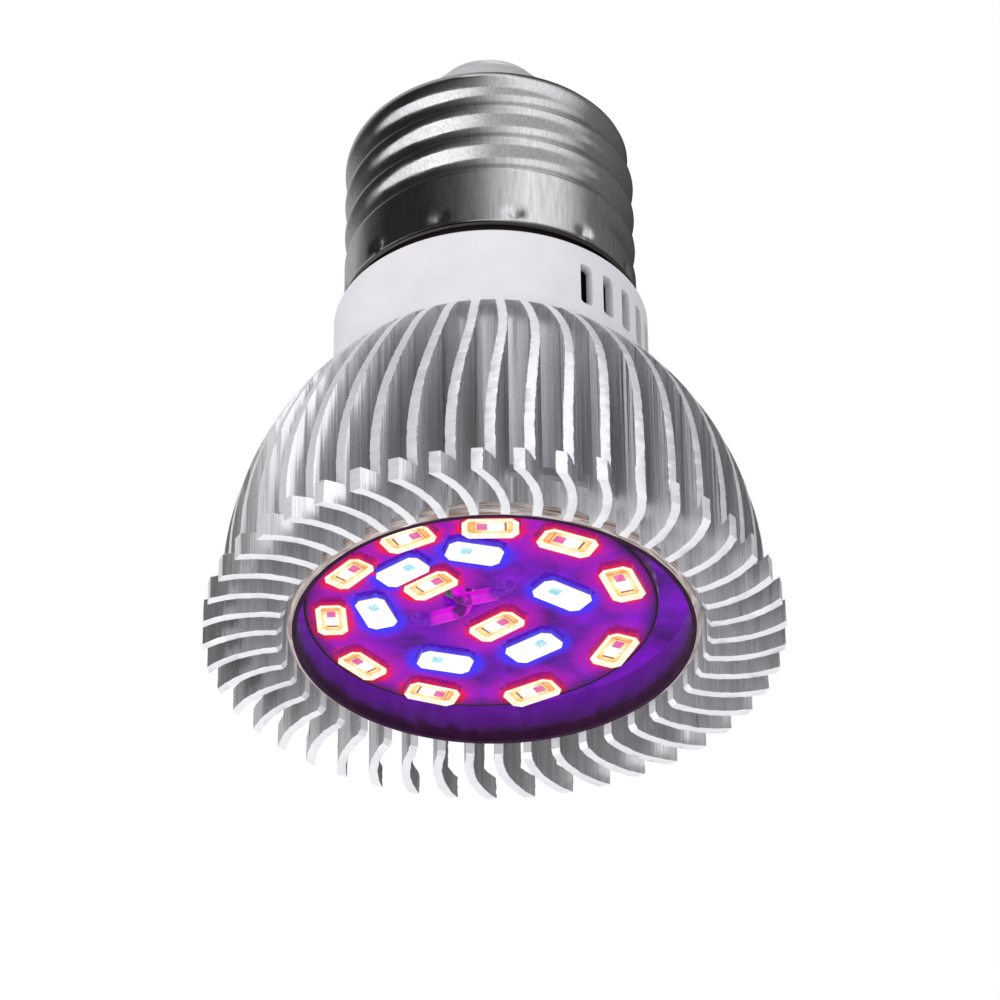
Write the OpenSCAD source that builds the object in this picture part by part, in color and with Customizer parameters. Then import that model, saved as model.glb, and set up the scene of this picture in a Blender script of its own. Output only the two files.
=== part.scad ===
// Screw-in grow light bulb: a turned heat sink of bent fins, eighteen LEDs on a round board under
// a clear cover, a white driver housing and a nickel-plated screw cap.
// It stands on the front ends of its fins: Z is the bulb's axis and the screw cap points up.

/* [Heat sink] */
// Diameter over the fin tips
sink_d = 50; // [46:0.5:60]
// Height of the heat sink, from the fin ends to the collar
sink_h = 26.2; // [22:0.2:34]
// Number of fins round the hub
fin_count = 45; // [36:1:48]
// Thickness of each fin
fin_t = 0.75; // [0.5:0.05:0.9]
// Direction of the first fin's root, in degrees
fin_phase = 1.2; // [0:0.1:10]
// Radial length of the bent outer stretch of each fin
bend_len = 6.5; // [4:0.25:7]
// Radius of each fin's bend
bend_r = 8.9; // [8:0.1:14]
// Height of the full-width band at the front
band_h = 2.2; // [1:0.1:4]
// Step inwards from the band to the dome
band_step = 1.5; // [0.5:0.1:2]
// Height at which the dome is widest
dome_mid_z = 4.5; // [3:0.1:6]
// Wall of the hub round the driver housing
hub_wall = 1.7; // [1:0.1:2.2]

/* [Front cover] */
// Outer diameter of the clear cover
lens_d = 35.5; // [33:0.5:38]
// Thickness of the cover's face
lens_t = 1; // [0.6:0.1:1.4]
// Thickness of the cover's rim
lens_wall = 0.8; // [0.6:0.1:1.2]
// Depth of the cover behind the fin ends
lens_inset = 0.9; // [0.3:0.1:2]
// Gap between the cover's rim and the fins
lens_gap = 0.5; // [0.2:0.05:0.8]
// Chamfer on the fins' inner corners
recess_chamfer = 0.4; // [0.1:0.05:0.6]

/* [LED board] */
// Gap all round between the board and the cover's rim, with the board in the middle
board_margin = 1.65; // [1.2:0.05:2]
// How far the board sits off the axis
board_shift = 1.13; // [0:0.01:1.15]
// Thickness of the board
board_t = 1.2; // [0.8:0.1:2]
// Thickness of the plate that the board is mounted on
plate_t = 0.8; // [0.5:0.1:1.2]
// Gap round the plate
plate_gap = 0.05; // [0.02:0.01:0.1]
// Length of one LED
led_l = 5.4; // [4.5:0.1:5.7]
// Width of one LED
led_w = 3; // [2.4:0.1:3.2]
// Height of one LED
led_h = 0.8; // [0.6:0.05:1]
// Room between the LEDs and the cover's face
led_room = 0.8; // [0.5:0.1:2]
// Distance of the outer ring of LEDs from the board's edge
ring_inset = 2.45; // [2.2:0.05:2.8]
// Radius of the hole that the leads come through
lead_hole_r = 1.8; // [1.7:0.05:2]
// Diameter of the insulated leads
lead_d = 1.2; // [0.8:0.1:1.3]

/* [Driver housing] */
// Outer diameter of the white collar
collar_d = 28.1; // [27.5:0.1:31]
// Height of the collar
collar_h = 8; // [7:0.2:12]
// Wall of the collar
collar_wall = 0.9; // [0.7:0.1:1.8]
// Outer diameter of the tube inside the heat sink
tube_d = 22; // [20:0.5:22.5]
// Wall of the tube
tube_wall = 1.2; // [0.8:0.1:1.6]
// Clearance between the tube and the hub
tube_gap = 0.1; // [0.05:0.05:0.3]
// Number of vent slots in each of the two groups
vent_count = 6; // [3:1:7]
// Width of a vent slot
vent_w = 1.3; // [1:0.05:1.6]
// Height of a vent slot
vent_l = 4.3; // [3:0.1:4.4]
// Angle between vent slots
vent_step = 10.5; // [9:0.1:14]

/* [Screw cap] */
// Diameter over the thread's crests
thread_d = 26.3; // [26.15:0.05:26.45]
// Depth of the thread's grooves
thread_depth = 1.05; // [0.9:0.01:1.2]
// Pitch of the thread
thread_pitch = 3.629; // [3.6:0.001:3.66]
// Thickness of the shell's sheet metal
shell_t = 0.3; // [0.2:0.02:0.4]
// Gap between the collar and the shell
shell_gap = 1; // [0.4:0.1:1.6]
// Height of the shell's plain skirt
skirt_h = 5; // [4.5:0.1:7]
// Height of the threaded stretch
thread_h = 12.6; // [12:0.1:14]
// Radius of the rounded shoulder at the shell's end
shoulder_r = 2; // [1.5:0.1:2.5]
// Number of crimped dimples round the skirt
crimp_count = 12; // [6:2:12]
// Depth of each dimple
crimp_depth = 0.3; // [0.1:0.05:0.35]
// Height of the insulator above the shell
insulator_h = 4.9; // [4:0.1:7]
// Diameter of the centre contact
contact_d = 10; // [8.5:0.1:11]
// Height of the centre contact above the insulator
contact_h = 1.4; // [0.8:0.1:2]

/* [Driver] */
// Thickness of the driver board
pcb_t = 1; // [0.8:0.1:1.6]
// Gap between the driver board's edges and the tube
pcb_gap = 0.3; // [0.2:0.05:0.8]
// Diameter of the input capacitor
input_cap_d = 8; // [6.3:0.1:8]
// Length of the input capacitor
input_cap_l = 12; // [9:0.5:12]
// Diameter of the output capacitor
output_cap_d = 6.3; // [5:0.1:7]
// Length of the output capacitor
output_cap_l = 8; // [6:0.5:8.5]
// Diameter of the power inductor
inductor_d = 8; // [6:0.1:8]
// Height of the power inductor
inductor_h = 7; // [5:0.5:7]

/* [Hidden] */
$fn = 96;
eps = 0.01;

// Heat sink
sink_r = sink_d / 2;
bend_from = sink_r - bend_len;
dome_r = sink_r - band_step;
dome_top_r = collar_d / 2 + 0.1;
dome_drop = dome_r - dome_top_r;
dome_rise = sink_h - dome_mid_z;
dome_arc_r = (dome_drop * dome_drop + dome_rise * dome_rise) / (2 * dome_drop);
bore_r = tube_d / 2 + tube_gap;
hub_r = bore_r + hub_wall;

// Front: heights from the fin ends inwards
lens_back_z = lens_inset + lens_t;
led_front_z = lens_back_z + led_room;
board_front_z = led_front_z + led_h;
seat_z = board_front_z + board_t;
plate_back_z = seat_z + plate_t;
lens_r = lens_d / 2;
recess_r = lens_r + lens_gap;
board_r = lens_r - lens_wall - board_margin;
ring_r = board_r - ring_inset;

// LEDs as [distance from the board's middle, direction, turn of the long side], as in the photo
red_places = [
    [ring_r, -86, 0], [ring_r, -55, 26], [ring_r, -20, 71], [ring_r, 26, 114],
    [ring_r, 70, 150], [ring_r, 110, 201], [ring_r, 144, 50], [ring_r, 178, 88],
    [ring_r, 210, 130], [ring_r, 242, 151], [ring_r - 6.65, -133, 142], [2.2, 52, 140]
];
blue_places = [
    [ring_r - 3.65, -93, 15], [ring_r - 3.55, -135, 141], [ring_r - 3.85, -177, 72],
    [ring_r - 5.05, 114, 16], [ring_r - 6.05, 48, 143], [ring_r - 5.35, -22, 36]
];
led_chamfer = 0.6;
led_frame = 0.35;
led_dish = 0.25;
led_foot_t = 0.12;
led_foot_out = 0.15;
die_size = [0.9, 0.6, 0.12];

// Leads: where each comes through the board, and which way its end is bent
lead_r = lead_d / 2;
lead_hole = [-1.6 - board_shift, -1.3];
lead_side = [0.3, 0.72];
lead_bend_r = 0.9;
positive_turn = -18;
negative_turn = 157;
lead_run = 2.6;
core_r = 0.3;
solder_r = 0.8;
lead_over = 1.7;
lead_stagger = 0.7;
lead_rest = 0.05;

// Driver housing
collar_r = collar_d / 2;
collar_z = sink_h;
collar_top_z = collar_z + collar_h;
collar_edge = 0.35;
tube_r = tube_d / 2;
tube_bore_r = tube_r - tube_wall;
tube_end_z = plate_back_z + 0.7;
flange_t = 1.5;
cavity_r = collar_r - collar_wall;
vent_z = collar_z + 3.7;
vent_from = -53.1;
vent_corner = 0.4;

// Shell heights
shell_r = thread_d / 2;
groove_r = shell_r - thread_depth;
skirt_z = collar_top_z + shell_gap;
thread_z = skirt_z + skirt_h;
shoulder_z = thread_z + thread_h;
shell_top_z = shoulder_z + shoulder_r;
mouth_in = 2.6;
mouth_rise = 0.9;
shell_mouth_r = shell_r - shoulder_r - mouth_in;
shell_end_z = shell_top_z + mouth_rise;
rim_out = 0.25;
rim_h = 0.6;
crimp_z = skirt_z + 1.5;
crimp_phase = 10;
crimp_half_h = 0.55;
thread_lead_in = 0.3;
shell_sides = 36;
thread_rows = 30;
first_groove_z = thread_z + 0.25;
groove_start = -0.14;
groove_end = 3.4;
groove_fade = 0.18;

// Neck of the housing, inside the shell
neck_gap = 0.15;
neck_r = shell_r - shell_t - neck_gap;
neck_groove_r = neck_r - crimp_depth - 0.05;
neck_groove_half_h = 1;
neck_slope = 0.3;
neck_top_r = groove_r - shell_t - neck_gap - 0.1;
neck_step = 0.5;
neck_wide_z = thread_z - 1.7;
neck_end_z = thread_z + 6;
neck_wall = 1.35;
neck_bore_r = neck_top_r - neck_wall;
neutral_z = first_groove_z + thread_pitch;
neck_slot_w = 1.4;
neck_slot_l = neck_end_z - neutral_z + 1;

// Driver board and what it carries; each chip has its place across the board and its [width, length, height]
rectifier_x = -2.5;
rectifier_drop = 13;
rectifier_size = [4, 4.8, 1.6];
chip_x = 0;
chip_rise = 17;
chip_size = [4, 5, 1.5];
diode_x = 2;
diode_rise = 9;
diode_size = [2.7, 4.3, 2.1];
leg_w = 0.8;
leg_t = 0.4;
fuse_x = 3;
fuse_drop = 11;
pcb_front_y = lead_hole[1] - lead_side[1] - lead_r - lead_rest;
pcb_back_y = pcb_front_y - pcb_t;
pcb_w = 2 * sqrt(pow(min(tube_bore_r, neck_bore_r) - pcb_gap, 2) - pcb_back_y * pcb_back_y);
pcb_z0 = tube_end_z + 1.8;
pcb_z1 = neck_end_z - 1;
output_cap_z = pcb_z0 + 3.2;
input_cap_z = output_cap_z + output_cap_l + 2.5;
inductor_z = input_cap_z + input_cap_l + 1.2 + inductor_d / 2;
pin_r = 0.3;
live_r = 0.5;
live_room = 0.5;
wire_y = pcb_front_y + live_r;
neutral_x = 5;
neutral_bend_r = 0.9;
neutral_rest = 0.2;

// Insulator and contact
insulator_z = shell_end_z - shell_t;
insulator_lip_r = shell_mouth_r - 0.05;
insulator_top_z = shell_end_z + insulator_h;
contact_r = contact_d / 2;
contact_flat_r = contact_r - 1;
contact_t = 0.3;
contact_edge = 0.3;
contact_edge_h = 0.35;
contact_stem_l = 1.5;
bulb_top_z = insulator_top_z + contact_h;
contact_hole_r = live_room + abs(wire_y) + live_r;
insulator_flange = 0.8;
insulator_below = 1.4;
insulator_lip_h = 0.4;
insulator_rim = 0.4;
insulator_edge = 0.5;

// 2D fin: a straight root and a bent tip, along +X
module fin_outline() {
    translate([bore_r + hub_wall / 2, -fin_t / 2]) square([bend_from - bore_r - hub_wall / 2, fin_t]);
    intersection() {
        translate([bend_from, -bend_r]) difference() {
            circle(r = bend_r + fin_t / 2);
            circle(r = bend_r - fin_t / 2);
        }
        translate([bend_from, -bend_r]) square([bend_r + fin_t, bend_r + fin_t]);
    }
}

// 2D outline that the fins are turned to, from the axis out
module turned_outline() {
    square([sink_r, band_h]);
    intersection() {
        translate([dome_r - dome_arc_r, dome_mid_z]) circle(r = dome_arc_r, $fn = 180);
        translate([0, band_h - eps]) square([dome_r + 1, sink_h - band_h + eps]);
    }
}

module heat_sink() {
    color([0.72, 0.72, 0.74]) difference() {
        intersection() {
            linear_extrude(height = sink_h) union() {
                circle(r = hub_r);
                for (i = [0 : fin_count - 1]) rotate(fin_phase + i * 360 / fin_count) fin_outline();
            }
            rotate_extrude() turned_outline();
        }
        translate([0, 0, -1]) cylinder(r = bore_r, h = sink_h + 2);
        translate([0, 0, -1]) cylinder(r = recess_r, h = plate_back_z + 1);
        translate([0, 0, -eps])
            cylinder(r1 = recess_r + recess_chamfer + eps, r2 = recess_r, h = recess_chamfer + eps);
    }
}

module lens_cover() {
    color([0.85, 0.87, 0.9, 0.35]) rotate_extrude() difference() {
        translate([0, lens_inset]) polygon([
            [0, 0], [lens_r - 0.2, 0], [lens_r, 0.2], [lens_r, seat_z - lens_inset], [0, seat_z - lens_inset]
        ]);
        translate([-eps, lens_back_z]) square([lens_r - lens_wall + eps, seat_z - lens_back_z + 1]);
    }
}

module led_board() {
    color([0.93, 0.93, 0.95]) difference() {
        translate([-board_shift, 0, board_front_z]) cylinder(r = board_r, h = board_t);
        translate([lead_hole[0], lead_hole[1], board_front_z - 1]) cylinder(r = lead_hole_r, h = board_t + 2);
    }
}

// Plate that closes the recess behind the board and the cover
module mounting_plate() {
    color([0.7, 0.7, 0.72]) difference() {
        translate([0, 0, seat_z]) cylinder(r = recess_r - plate_gap, h = plate_t);
        translate([lead_hole[0], lead_hole[1], seat_z - 1]) cylinder(r = lead_hole_r, h = plate_t + 2);
    }
}

// 2D rectangle with its corners cut off
module cut_rectangle(l, w, c) {
    polygon([
        [-l / 2 + c, -w / 2], [l / 2 - c, -w / 2], [l / 2, -w / 2 + c], [l / 2, w / 2 - c],
        [l / 2 - c, w / 2], [-l / 2 + c, w / 2], [-l / 2, w / 2 - c], [-l / 2, -w / 2 + c]
    ]);
}

// One LED, lying face down on the board: its feet are against the board
module led(place, tint) {
    body_l = led_l - 2 * led_foot_out;
    inner_l = body_l - 2 * led_frame;
    inner_w = led_w - 2 * led_frame;
    translate([place[0] * cos(place[1]) - board_shift, place[0] * sin(place[1]), led_front_z])
    rotate(place[2]) color(tint) {
        difference() {
            linear_extrude(height = led_h) cut_rectangle(body_l, led_w, led_chamfer);
            translate([0, 0, -eps]) linear_extrude(height = led_dish + eps)
                cut_rectangle(inner_l, inner_w, led_chamfer);
        }
        for (side = [-1, 1]) translate([side * (led_l / 2 - 0.5) - 0.5, -led_w * 0.4, led_h - led_foot_t])
            cube([1, led_w * 0.8, led_foot_t]);
        translate([-inner_l * 0.22 - die_size[0] / 2, -die_size[1] / 2, led_dish - die_size[2]])
            cube([die_size[0], die_size[1], die_size[2] + eps]);
    }
}

module red_led(i) {
    led(red_places[i - 1], [1, 0.85, 0.7]);
}

module blue_led(i) {
    led(blue_places[i - 1], [0.8, 0.9, 1]);
}

// Round wire from the origin: up by rise, round a bend towards +X, and on by run
module bent_wire(r, bend, rise, run) {
    cylinder(r = r, h = rise, $fn = 32);
    translate([bend, 0, rise]) rotate([90, 0, 0]) rotate(90)
        rotate_extrude(angle = 90, $fn = 48) translate([bend, 0]) circle(r = r, $fn = 32);
    translate([bend, 0, rise + bend]) rotate([0, 90, 0]) cylinder(r = r, h = run, $fn = 32);
}

// Insulated lead down from the driver board: it comes through the hole and lies along the LED board's front
module board_lead(side, turn) {
    run_z = board_front_z - lead_r;
    top_z = pcb_z0 + lead_over + side * lead_stagger;
    translate([lead_hole[0] + side * lead_side[0], lead_hole[1] + side * lead_side[1], 0]) {
        translate([0, 0, top_z - 2 * core_r]) rotate([90, 0, 0])
            cylinder(r = core_r, h = lead_hole[1] + side * lead_side[1] - pcb_front_y, $fn = 24);
        rotate(turn) {
            translate([0, 0, top_z]) mirror([0, 0, 1])
                bent_wire(lead_r, lead_bend_r, top_z - run_z - lead_bend_r, lead_run);
            translate([lead_bend_r + lead_run - eps, 0, run_z]) rotate([0, 90, 0])
                cylinder(r = core_r, h = solder_r + eps, $fn = 24);
            translate([lead_bend_r + lead_run + solder_r, 0, board_front_z - 0.5])
                cylinder(r1 = solder_r * 0.6, r2 = solder_r, h = 0.5, $fn = 32);
        }
    }
}

module positive_lead() {
    color([0.9, 0.88, 0.86]) board_lead(-1, positive_turn);
}

module negative_lead() {
    color([0.86, 0.86, 0.88]) board_lead(1, negative_turn);
}

// 2D wall of the housing, from the tube's lower end to the neck's upper end
module housing_outline() {
    polygon([
        [tube_bore_r, tube_end_z], [tube_r, tube_end_z], [tube_r, collar_z], [collar_r, collar_z],
        [collar_r, collar_top_z - collar_edge], [collar_r - collar_edge, collar_top_z],
        [neck_r, collar_top_z], [neck_r, crimp_z - neck_groove_half_h],
        [neck_groove_r, crimp_z - neck_groove_half_h + neck_slope],
        [neck_groove_r, crimp_z + neck_groove_half_h - neck_slope],
        [neck_r, crimp_z + neck_groove_half_h], [neck_r, neck_wide_z],
        [neck_top_r, neck_wide_z + neck_step], [neck_top_r, neck_end_z], [neck_bore_r, neck_end_z],
        [neck_bore_r, collar_top_z - flange_t], [cavity_r, collar_top_z - flange_t],
        [cavity_r, collar_z + flange_t], [tube_bore_r, collar_z + flange_t]
    ]);
}

// Vent slot with round corners, through the collar's wall along +X
module vent_slot() {
    reach = collar_wall + 2;
    flat_w = vent_w - 2 * vent_corner;
    flat_l = vent_l - 2 * vent_corner;
    translate([cavity_r - 1, 0, vent_z]) {
        translate([0, -vent_w / 2, -flat_l / 2]) cube([reach, vent_w, flat_l]);
        translate([0, -flat_w / 2, -vent_l / 2]) cube([reach, flat_w, vent_l]);
        for (y = [-1, 1], z = [-1, 1]) translate([0, y * flat_w / 2, z * flat_l / 2]) rotate([0, 90, 0])
            cylinder(r = vent_corner, h = reach, $fn = 32);
    }
}

module driver_housing() {
    color([0.93, 0.93, 0.94]) difference() {
        rotate_extrude() housing_outline();
        for (group = [0, 180], i = [0 : vent_count - 1]) rotate(vent_from + group + i * vent_step) vent_slot();
        translate([0, wire_y - neck_slot_w / 2, neck_end_z - neck_slot_l])
            cube([neck_top_r + 1, neck_slot_w, neck_slot_l + 1]);
    }
}

module driver_board() {
    color([0.25, 0.45, 0.3]) translate([-pcb_w / 2, pcb_back_y, pcb_z0]) cube([pcb_w, pcb_t, pcb_z1 - pcb_z0]);
}

// Flat chip package on the driver board's back face, with legs down both sides
module flat_chip(x, z, size, legs) {
    w = size[0];
    l = size[1];
    h = size[2];
    translate([x, pcb_back_y, z]) {
        translate([-w / 2, -h, -l / 2]) cube([w, h - 0.1, l]);
        for (side = [-1, 1], i = [0 : legs - 1])
            translate([side * (w / 2 + 0.35) - leg_w / 2, -h * 0.55, (i - (legs - 1) / 2) * l / legs - leg_t / 2])
                cube([leg_w, h * 0.55, leg_t]);
    }
}

module bridge_rectifier() {
    color([0.12, 0.12, 0.13]) flat_chip(rectifier_x, pcb_z1 - rectifier_drop, rectifier_size, 2);
}

module driver_chip() {
    color([0.1, 0.1, 0.11]) flat_chip(chip_x, pcb_z0 + chip_rise, chip_size, 4);
}

module flyback_diode() {
    color([0.14, 0.14, 0.15]) flat_chip(diode_x, pcb_z0 + diode_rise, diode_size, 1);
}

// Fusible resistor, standing off the back face on its two wires
module fuse_resistor() {
    body_l = 8;
    body_r = 1.5;
    stand = 1.9;
    bend = 0.6;
    color([0.35, 0.6, 0.5]) translate([fuse_x, pcb_back_y - stand, pcb_z1 - fuse_drop]) {
        translate([0, 0, -body_l / 2]) cylinder(r = body_r, h = body_l, $fn = 48);
        for (end = [0, 1]) mirror([0, 0, end]) translate([0, 0, body_l / 2 - eps]) rotate(90)
            bent_wire(pin_r, bend, 0.6, stand - bend);
    }
}

// Can lying along the driver board's front face, with two pins bent down to it
module lying_can(d, l, z, groove) {
    bend = 0.6;
    translate([0, pcb_front_y + d / 2, z]) {
        rotate_extrude($fn = 64) polygon([
            [0, 0], [d / 2 - 0.2, 0], [d / 2, 0.3], [d / 2, groove], [d / 2 - 0.3, groove + 0.4],
            [d / 2, groove + 0.8], [d / 2, l - 0.3], [d / 2 - 0.3, l], [0, l]
        ]);
        for (side = [-1, 1]) translate([side * d / 5, 0, eps]) mirror([0, 0, 1]) rotate(-90)
            bent_wire(pin_r, bend, 0.6, d / 2 - bend);
    }
}

module input_capacitor() {
    color([0.2, 0.22, 0.3]) lying_can(input_cap_d, input_cap_l, input_cap_z, 1.2);
}

module output_capacitor() {
    color([0.25, 0.25, 0.28]) lying_can(output_cap_d, output_cap_l, output_cap_z, 1);
}

// Wound drum, standing on the driver board's front face
module power_inductor() {
    flange = 1.2;
    color([0.3, 0.3, 0.32]) translate([0, pcb_front_y, inductor_z]) rotate([-90, 0, 0]) {
        cylinder(d = inductor_d, h = flange, $fn = 64);
        translate([0, 0, flange - eps])
            cylinder(d = inductor_d - 1.2, h = inductor_h - 2 * flange + 2 * eps, $fn = 64);
        translate([0, 0, inductor_h - flange]) cylinder(d = inductor_d, h = flange, $fn = 64);
    }
}

// Wire from the driver board straight up to the centre contact
module live_lead() {
    color([0.75, 0.2, 0.18]) translate([0, wire_y, pcb_z1 - 1.5])
        cylinder(r = live_r, h = insulator_top_z + 0.2 - pcb_z1 + 1.5, $fn = 32);
}

// Wire out through the neck's slot to the shell, which it meets at a groove
module neutral_lead() {
    end_x = sqrt(pow(groove_r - shell_t - neutral_rest, 2) - pow(abs(wire_y) + live_r, 2));
    color([0.2, 0.2, 0.22]) translate([neutral_x, wire_y, neutral_z - neutral_bend_r - 2])
        bent_wire(live_r, neutral_bend_r, 2, end_x - neutral_x - neutral_bend_r);
}

// Smooth step from 0 to 1 between a and b
function ease(x, a, b) = let (t = min(1, max(0, (x - a) / (b - a)))) t * t * (3 - 2 * t);

// Depth of the rolled groove at height z and direction a, fading in and out at the thread's ends
function groove_depth(z, a) =
    let (turns = (z - first_groove_z) / thread_pitch - a / 360,
         nearest = round(turns),
         along = nearest + a / 360,
         fade = ease(along, groove_start, groove_start + groove_fade)
              * (1 - ease(along, groove_end - groove_fade, groove_end)))
    thread_depth * fade * (1 + cos(360 * (turns - nearest))) / 2;

// Depth of the crimped dimples at height z and direction a
function crimp(z, a) =
    let (off = abs(((a - crimp_phase + 360) % (360 / crimp_count)) / (360 / crimp_count) - 0.5))
    (abs(z - crimp_z) < eps && off > 0.49) ? crimp_depth : 0;

// Section of the shell's outside, from the rim up, as [radius, height]
shell_section = concat(
    [[shell_r + rim_out, skirt_z], [shell_r, skirt_z + rim_h],
     [shell_r, crimp_z - crimp_half_h], [shell_r, crimp_z], [shell_r, crimp_z + crimp_half_h],
     [shell_r, thread_z - 1.6], [shell_r, thread_z - 1.1], [shell_r, thread_z - 0.7]],
    [for (i = [0 : thread_rows])
        [shell_r, thread_z - thread_lead_in + i * (thread_h + thread_lead_in) / thread_rows]],
    [for (a = [22.5 : 22.5 : 90])
        [shell_r - shoulder_r + shoulder_r * cos(a), shoulder_z + shoulder_r * sin(a)]],
    [[shell_mouth_r, shell_end_z]]
);

// Point of the shell in direction a: the inside is a wall's thickness in, and on the shoulder below
function shell_point(p, a, inside) =
    let (over = p[1] > shoulder_z + eps,
         share = !inside ? 0 : over ? max(0, (p[0] - shell_r + shoulder_r) / shoulder_r) : 1,
         r = p[0] - groove_depth(p[1], a) - crimp(p[1], a) - shell_t * share,
         z = p[1] - (inside && over ? shell_t : 0))
    [r * cos(a), r * sin(a), z];

module cap_shell() {
    rows = len(shell_section);
    loop = 2 * rows;
    points = [
        for (s = [0 : shell_sides - 1])
            let (a = crimp_phase + s * 360 / shell_sides)
            for (j = [0 : loop - 1])
                j < rows ? shell_point(shell_section[j], a, false)
                         : shell_point(shell_section[loop - 1 - j], a, true)
    ];
    faces = [
        for (s = [0 : shell_sides - 1], j = [0 : loop - 1])
            let (k = (j + 1) % loop, here = s * loop, next = ((s + 1) % shell_sides) * loop)
            for (face = [[here + j, here + k, next + j], [here + k, next + k, next + j]]) face
    ];
    color([0.7, 0.7, 0.72]) polyhedron(points = points, faces = faces, convexity = 8);
}

module cap_insulator() {
    color([0.82, 0.82, 0.84]) rotate_extrude() polygon([
        [contact_hole_r, insulator_z - insulator_below],
        [insulator_lip_r + insulator_flange, insulator_z - insulator_below],
        [insulator_lip_r + insulator_flange, insulator_z - shell_t - 0.5], [insulator_lip_r, insulator_z - 0.1],
        [insulator_lip_r, shell_end_z + insulator_lip_h],
        [contact_r + insulator_rim + insulator_edge, insulator_top_z - insulator_edge],
        [contact_r + insulator_rim, insulator_top_z], [contact_hole_r, insulator_top_z]
    ]);
}

module centre_contact() {
    stem_r = contact_hole_r - 0.05;
    color([0.75, 0.75, 0.77]) rotate_extrude() {
        polygon([
            [0, insulator_top_z + contact_t], [stem_r - contact_t, insulator_top_z + contact_t],
            [stem_r - contact_t, insulator_top_z - contact_stem_l], [stem_r, insulator_top_z - contact_stem_l],
            [stem_r, insulator_top_z], [contact_r, insulator_top_z], [contact_r, insulator_top_z + contact_edge],
            [contact_r - contact_edge, bulb_top_z - contact_edge_h], [contact_flat_r, bulb_top_z],
            [0, bulb_top_z]
        ]);
    }
}

heat_sink();
lens_cover();
led_board();
mounting_plate();
red_led(1);  // red_led_01
red_led(2);  // red_led_02
red_led(3);  // red_led_03
red_led(4);  // red_led_04
red_led(5);  // red_led_05
red_led(6);  // red_led_06
red_led(7);  // red_led_07
red_led(8);  // red_led_08
red_led(9);  // red_led_09
red_led(10);  // red_led_10
red_led(11);  // red_led_11
red_led(12);  // red_led_12
blue_led(1);  // blue_led_01
blue_led(2);  // blue_led_02
blue_led(3);  // blue_led_03
blue_led(4);  // blue_led_04
blue_led(5);  // blue_led_05
blue_led(6);  // blue_led_06
positive_lead();
negative_lead();
driver_housing();
driver_board();
bridge_rectifier();
driver_chip();
flyback_diode();
fuse_resistor();
input_capacitor();
output_capacitor();
power_inductor();
live_lead();
neutral_lead();
cap_shell();
cap_insulator();
centre_contact();
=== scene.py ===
import math
import random

import bmesh
import bpy
from bpy.props import FloatProperty, FloatVectorProperty, IntProperty, PointerProperty
from bpy.types import Operator, Panel, PropertyGroup
from mathutils import Matrix, Vector


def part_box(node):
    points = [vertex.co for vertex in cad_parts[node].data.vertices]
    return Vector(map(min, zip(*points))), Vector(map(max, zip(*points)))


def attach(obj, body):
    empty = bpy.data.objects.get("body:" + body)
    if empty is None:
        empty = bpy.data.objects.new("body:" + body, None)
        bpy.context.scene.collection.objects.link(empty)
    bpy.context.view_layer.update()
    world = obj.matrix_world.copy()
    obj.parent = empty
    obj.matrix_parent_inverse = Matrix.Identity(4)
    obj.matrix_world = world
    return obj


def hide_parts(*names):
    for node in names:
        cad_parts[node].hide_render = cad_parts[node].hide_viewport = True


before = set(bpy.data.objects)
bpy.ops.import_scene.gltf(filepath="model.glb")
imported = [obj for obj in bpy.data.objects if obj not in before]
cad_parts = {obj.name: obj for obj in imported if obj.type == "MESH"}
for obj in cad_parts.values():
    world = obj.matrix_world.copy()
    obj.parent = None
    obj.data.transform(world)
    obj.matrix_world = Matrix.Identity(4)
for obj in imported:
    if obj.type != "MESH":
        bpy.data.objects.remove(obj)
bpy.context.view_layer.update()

bl_info = {
    "name": "Grow light bulb",
    "version": (1, 0, 0),
    "blender": (4, 5, 0),
    "location": "View3D > Sidebar > Grow light",
    "description": "Builds a screw-in LED grow light bulb and its studio on the packed CAD frame",
    "category": "Add Mesh",
}

MM = 0.001

# Places of the LEDs on their board: distance from its middle in mm, direction and turn in degrees
RED_PLACES = [
    (12.85, -86, 0), (12.85, -55, 26), (12.85, -20, 71), (12.85, 26, 114),
    (12.85, 70, 150), (12.85, 110, 201), (12.85, 144, 50), (12.85, 178, 88),
    (12.85, 210, 130), (12.85, 242, 151), (6.2, -133, 142), (2.2, 52, 140),
]
BLUE_PLACES = [
    (9.2, -93, 15), (9.3, -135, 141), (9.0, -177, 72),
    (7.8, 114, 16), (6.8, 48, 143), (7.5, -22, 36),
]
LEAD_HOLE = (-2.73, -1.3, 0.0)

# How far each LED's light lies off its foot on the board, in mm
GLOW_SHIFT = Vector((0.0, 1.0, 0.0))

# Light of the two studio bands: direction in degrees and level
UPPER_LIGHT = [
    (-180, 0.03), (-140, 0.03), (-114, 0.1), (-98, 0.25), (-84, 0.68), (-60, 1.3), (-35, 1.05), (-8, 0.22),
    (70, 0.05), (88, 0.14), (104, 0.5), (138, 0.5), (160, 0.1), (180, 0.03),
]
LOWER_LIGHT = [(-180, 1.3), (-104, 1.3), (-84, 0.6), (56, 0.45), (80, 0.85), (150, 0.85), (180, 1.3)]


def length(name, description, value):
    """A size property, stored in metres."""
    return FloatProperty(name=name, description=description, default=value * MM, unit="LENGTH",
                         precision=5, min=0.0)


def colour(name, description, value):
    """A colour property in linear light."""
    return FloatVectorProperty(name=name, description=description, default=value, size=3,
                               min=0.0, max=1.0, subtype="COLOR")


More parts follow.
